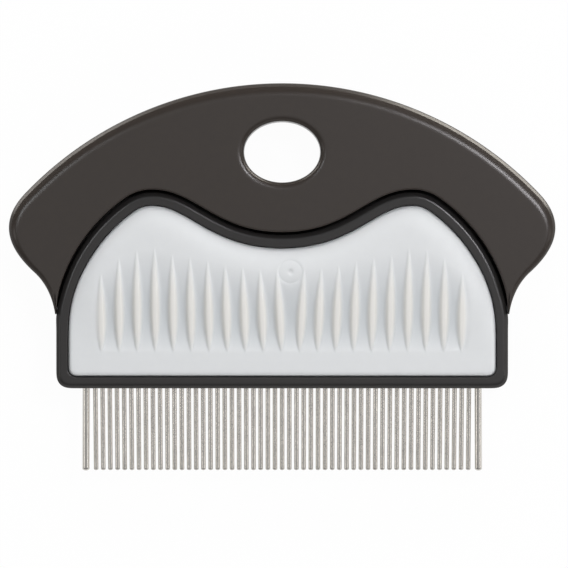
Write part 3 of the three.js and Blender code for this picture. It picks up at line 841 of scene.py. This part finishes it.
def dressed(piece, material, slot, *nodes):
    """Gives a piece its finish and its place in the frame: it stands for the named solids and moves with the comb."""
    piece.data.materials.append(material)
    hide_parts(*nodes)
    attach(piece, BODY)
    return piece


# Sizes and colours that a user would change

class CombSizes(bpy.types.PropertyGroup):
    bevel_width: FloatProperty(
        name="Bevel width", description="Width of the bevel along the grip's outer edge",
        default=2.4 * MM, min=2.1 * MM, max=3.5 * MM, subtype="DISTANCE", unit="LENGTH")
    bevel_angle: FloatProperty(
        name="Bevel angle", description="Slope of that bevel below the face",
        default=math.radians(27), min=math.radians(10), max=math.radians(40), subtype="ANGLE", unit="ROTATION")
    fold_radius: FloatProperty(
        name="Fold radius", description="Radius where the bevel meets the face",
        default=2.9 * MM, min=0.2 * MM, max=3.5 * MM, subtype="DISTANCE", unit="LENGTH")
    rib_rise: FloatProperty(
        name="Rib rise", description="Height of a rib's crest above the pad",
        default=0.3 * MM, min=0.1 * MM, max=0.35 * MM, subtype="DISTANCE", unit="LENGTH")
    rib_width: FloatProperty(
        name="Rib width", description="Half width of a rib where it is widest",
        default=0.72 * MM, min=0.2 * MM, max=0.9 * MM, subtype="DISTANCE", unit="LENGTH")
    trough_depth: FloatProperty(
        name="Trough depth", description="Depth of the scooped trough between two ribs",
        default=0.6 * MM, min=0, max=0.9 * MM, subtype="DISTANCE", unit="LENGTH")


class CombColours(bpy.types.PropertyGroup):
    grip: FloatVectorProperty(
        name="Grip", description="Black plastic of the grip", size=3, default=(0.0300, 0.0235, 0.0192),
        min=0, max=1, subtype="COLOR")
    carrier: FloatVectorProperty(
        name="Carrier", description="Black plastic of the tooth carrier", size=3, default=(0.0215, 0.0202, 0.0196),
        min=0, max=1, subtype="COLOR")
    pad: FloatVectorProperty(
        name="Pad", description="Pale grey rubber of the pads", size=3, default=(0.673, 0.693, 0.697),
        min=0, max=1, subtype="COLOR")
    # Crest and trough are painted light on the pads: a lighter, warmer painted highlight on the ribs' crests and a
    # darker, cooler painted shade in the troughs
    crest: FloatVectorProperty(
        name="Crest", description="The pads' rubber on the crests of the ribs", size=3,
        default=(0.715, 0.711, 0.677), min=0, max=1, subtype="COLOR")
    trough: FloatVectorProperty(
        name="Trough", description="The pads' rubber between the ribs", size=3,
        default=(0.536, 0.567, 0.580), min=0, max=1, subtype="COLOR")
    pin: FloatVectorProperty(
        name="Pin", description="Steel of the pins", size=3, default=(0.74, 0.72, 0.68),
        min=0, max=1, subtype="COLOR")


class CombStudio(bpy.types.PropertyGroup):
    key_power: FloatProperty(
        name="Key light", description="Power of the soft light at the upper right",
        default=1.51, min=0, subtype="POWER", unit="POWER")
    fill_power: FloatProperty(
        name="Fill light", description="Power of the soft light at the upper left",
        default=0.4, min=0, subtype="POWER", unit="POWER")
    far_power: FloatProperty(
        name="Far light", description="Power of the wide low light beyond the grip",
        default=40.5, min=0, subtype="POWER", unit="POWER")
    near_power: FloatProperty(
        name="Near light", description="Power of the wide light on the side of the pins",
        default=1.38, min=0, subtype="POWER", unit="POWER")
    rim_power: FloatProperty(
        name="Rim lights", description="Power of the right one of two low lights that only show as a gloss on rims",
        default=4.5, min=0, subtype="POWER", unit="POWER")
    pin_light_power: FloatProperty(
        name="Pin lights", description="Power of each of two side lights that only show as a gloss on the pins",
        default=0.16, min=0, subtype="POWER", unit="POWER")
    room: FloatProperty(
        name="Room", description="Level of the room's bright horizon", default=1.35, min=0, max=8)


# One operator for each piece or group of like pieces

class COMB_OT_grip(bpy.types.Operator):
    """Make the moulded grip with its bevels and hang hole"""
    bl_idname = "palm_comb.grip"
    bl_label = "Grip"

    def execute(self, context):
        plastic = black_plastic("grip_plastic", context.scene.comb_colours.grip, 700.0, 5000.0)
        dressed(grip_shell(context.scene.comb_sizes).piece("grip_moulding"), plastic, "handle_plastic", "handle")
        return {"FINISHED"}


class COMB_OT_carrier(bpy.types.Operator):
    """Make the tooth carrier with its rim, pockets and tongue"""
    bl_idname = "palm_comb.carrier"
    bl_label = "Tooth carrier"

    def execute(self, context):
        plastic = black_plastic("carrier_plastic", context.scene.comb_colours.carrier, 900.0, 6000.0)
        dressed(carrier_shell().piece("carrier_moulding"), plastic, "carrier_plastic", "tooth_carrier")
        return {"FINISHED"}


class COMB_OT_pads(bpy.types.Operator):
    """Make the two ribbed rubber pads"""
    bl_idname = "palm_comb.pads"
    bl_label = "Pads"

    def execute(self, context):
        colours = context.scene.comb_colours
        sizes = context.scene.comb_sizes
        # The crest and trough colours paint a highlight on the ribs' crests and shade in the troughs between them
        rubber = rubber_finish("pad_rubber", colours.pad, colours.crest, colours.trough)
        shells = pad_shell(sizes, True), pad_shell(sizes, False).turned_over()
        front, rear = (dressed(shell.piece(name + "_rubber", pad_painted_light_masks(shell, sizes)), rubber, "pad_rubber", name)
                       for shell, name in zip(shells, ("front_pad", "rear_pad")))
        return {"FINISHED"}


class COMB_OT_pins(bpy.types.Operator):
    """Make the fine pins and the two thicker guard pins"""
    bl_idname = "palm_comb.pins"
    bl_label = "Pins"

    def execute(self, context):
        metal = steel("tooth_steel", context.scene.comb_colours.pin)
        for name in sorted(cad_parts):
            if "_tooth_" not in name:
                continue
            low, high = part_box(name)
            x, diameter = (low.x + high.x) / 2 / MM, (high.z - low.z) / MM
            reach = CARRIER_EDGE_Y - low.y / MM
            lean = (GUARD_FAN if name.startswith("guard") else PIN_FAN) * x / HALF
            dressed(pin_shell(x, diameter, reach, lean).piece(name + "_pin"), metal, "tooth_steel", name)
        return {"FINISHED"}


# The floor's share of its own white light, and how far up the room is white
FLOOR_GLOW = 0.97
FAR_EDGE = 0.03


class COMB_OT_studio(bpy.types.Operator):
    """Make the pale floor, the lights, the room and the camera"""
    bl_idname = "palm_comb.studio"
    bl_label = "Studio"

    def execute(self, context):
        levels = context.scene.comb_studio
        half = 3
        sheet = bpy.data.meshes.new("floor")
        sheet.from_pydata([(-half, -half, 0), (half, -half, 0), (half, half, 0), (-half, half, 0)], [], [(0, 1, 2, 3)])
        floor = bpy.data.objects.new("floor", sheet)
        context.scene.collection.objects.link(floor)
        material, tree, shader = finish("white_floor")
        shader.inputs["Base Color"].default_value = (0.9, 0.9, 0.9, 1)
        shader.inputs["Roughness"].default_value = 0.9
        shader.inputs["Specular IOR Level"].default_value = 0.1
        path = tree.nodes.new("ShaderNodeLightPath")
        seen = maths(tree, "MAXIMUM", path.outputs["Is Camera Ray"], path.outputs["Is Glossy Ray"])
        white = node(tree, "ShaderNodeEmission", [("Color", (1, 1, 1, 1)), ("Strength", 1.0)])
        mixed = node(tree, "ShaderNodeMixShader", [(0, maths(tree, "MULTIPLY", seen, FLOOR_GLOW)),
                                                   (1, shader.outputs[0]), (2, white.outputs[0])])
        tree.links.new(mixed.outputs[0], tree.nodes["Material Output"].inputs["Surface"])
        floor.data.materials.append(material)
        room(context.scene, levels.room)
        soft, rim, square = (1.0, 0.99, 0.98), (0.55, 0.18), (0.14, 0.14)
        lamp("key_light", (0.236, 0.198, 0.578), (0.153, 0.153), levels.key_power, (0.98, 0.96, 1.0))
        lamp("fill_light", (-0.261, 0.163, 0.578), (0.127, 0.127), levels.fill_power, (0.94, 0.97, 1.0))
        washes = [lamp("far_light", (0.0, 2.00, 0.62), (1.6, 0.9), levels.far_power, soft),
                  lamp("near_light", (0.20, -0.50, 0.30), (0.5, 0.3), levels.near_power, soft)]
        glints = [lamp("right_rim_light", (0.50, 0.60, 0.11), rim, levels.rim_power, (1.0, 0.95, 0.86)),
                  lamp("left_rim_light", (-0.55, 0.55, 0.11), rim, 0.45 * levels.rim_power, (1.0, 0.96, 0.90)),
                  lamp("left_pin_light", (-0.50, -0.05, 0.38), square, levels.pin_light_power, (1.0, 0.97, 0.94)),
                  lamp("right_pin_light", (0.50, -0.05, 0.38), square, levels.pin_light_power, (1.0, 0.97, 0.94))]
        for wash in washes:
            wash.visible_glossy = False
        for glint in glints:
            glint.visible_diffuse = False
        camera(context.scene)
        return {"FINISHED"}


def room(scene, level):
    """The room: a bright warm band along the horizon, brighter on the right and near side, dim walls, and a paler
    ceiling. At the height of the floor's edge it is plain white, for the camera and for reflections alike."""
    world = bpy.data.worlds.new("pale_room")
    scene.world = world
    world.use_nodes = True
    tree = world.node_tree
    tree.nodes.clear()
    place = tree.nodes.new("ShaderNodeTexCoord").outputs["Generated"]
    axes = node(tree, "ShaderNodeSeparateXYZ", [(0, place)])
    ramp = node(tree, "ShaderNodeValToRGB", [(0, axes.outputs["Z"])])
    bands = ramp.color_ramp.elements
    bands[0].color, bands[1].color = (1.0, 0.97, 0.92, 1), (0.42, 0.415, 0.41, 1)
    for position, colour in ((0.2, (0.5, 0.49, 0.475, 1)), (0.36, (0.10, 0.10, 0.105, 1)),
                             (0.62, (0.06, 0.06, 0.063, 1)), (0.88, (0.17, 0.171, 0.176, 1))):
        bands.new(position).color = colour
    right = maths(tree, "MULTIPLY", axes.outputs["X"], 0.3)
    near = maths(tree, "MULTIPLY", axes.outputs["Y"], -0.3)
    side = maths(tree, "ADD", maths(tree, "ADD", right, near), 1.0)
    around = node(tree, "ShaderNodeBackground", [("Color", ramp.outputs[0]),
                                                 ("Strength", maths(tree, "MULTIPLY", side, level))])
    plain = node(tree, "ShaderNodeBackground", [("Color", (1, 1, 1, 1)), ("Strength", 1.0)])
    far_off = maths(tree, "LESS_THAN", axes.outputs["Z"], FAR_EDGE)
    mixed = node(tree, "ShaderNodeMixShader", [(0, far_off), (1, around.outputs[0]), (2, plain.outputs[0])])
    out = tree.nodes.new("ShaderNodeOutputWorld")
    tree.links.new(mixed.outputs[0], out.inputs["Surface"])


def lamp(name, place, size, power, colour):
    """A soft light, wide and high, that faces the comb."""
    data = bpy.data.lights.new(name, "AREA")
    data.shape, data.size, data.size_y, data.energy, data.color = "RECTANGLE", *size, power, colour
    made = bpy.data.objects.new(name, data)
    made.location = place
    made.rotation_euler = (-Vector(place)).to_track_quat("-Z", "Y").to_euler()
    bpy.context.scene.collection.objects.link(made)
    return made


def camera(scene):
    """Straight above the comb with a long lens. The picture is 103.9 mm wide at the top of the grip's wall."""
    data = bpy.data.cameras.new("camera")
    distance, width, level, centre = 1.2, 0.1039, 0.0088, (0.00034, -0.00127)
    data.lens = data.sensor_width * distance / width
    data.clip_start, data.clip_end = 0.05, 20
    made = bpy.data.objects.new("camera", data)
    made.location = (*centre, level + distance)
    scene.collection.objects.link(made)
    scene.camera = made


class COMB_PT_panel(bpy.types.Panel):
    """Lists the steps that dress the comb, with its sizes and colours"""
    bl_label = "Palm comb"
    bl_idname = "COMB_PT_panel"
    bl_space_type = "VIEW_3D"
    bl_region_type = "UI"
    bl_category = "Palm comb"

    def draw(self, context):
        for holder in (context.scene.comb_sizes, context.scene.comb_colours, context.scene.comb_studio):
            for name in holder.__annotations__:
                self.layout.prop(holder, name)
        for step in STEPS:
            self.layout.operator(step.bl_idname)


GROUPS = {"comb_sizes": CombSizes, "comb_colours": CombColours, "comb_studio": CombStudio}
STEPS = (COMB_OT_grip, COMB_OT_carrier, COMB_OT_pads, COMB_OT_pins, COMB_OT_studio)


def register():
    for kind in (*GROUPS.values(), *STEPS, COMB_PT_panel):
        bpy.utils.register_class(kind)
    for name, kind in GROUPS.items():
        setattr(bpy.types.Scene, name, PointerProperty(type=kind))


def unregister():
    for name in GROUPS:
        delattr(bpy.types.Scene, name)
    for kind in reversed((*GROUPS.values(), *STEPS, COMB_PT_panel)):
        bpy.utils.unregister_class(kind)


def main():
    """Makes every piece and the studio."""
    register()
    bpy.context.scene.view_settings.view_transform = "Standard"
    bpy.ops.palm_comb.grip()
    bpy.ops.palm_comb.carrier()
    bpy.ops.palm_comb.pads()
    bpy.ops.palm_comb.pins()
    bpy.ops.palm_comb.studio()


if __name__ == "__main__":
    main()
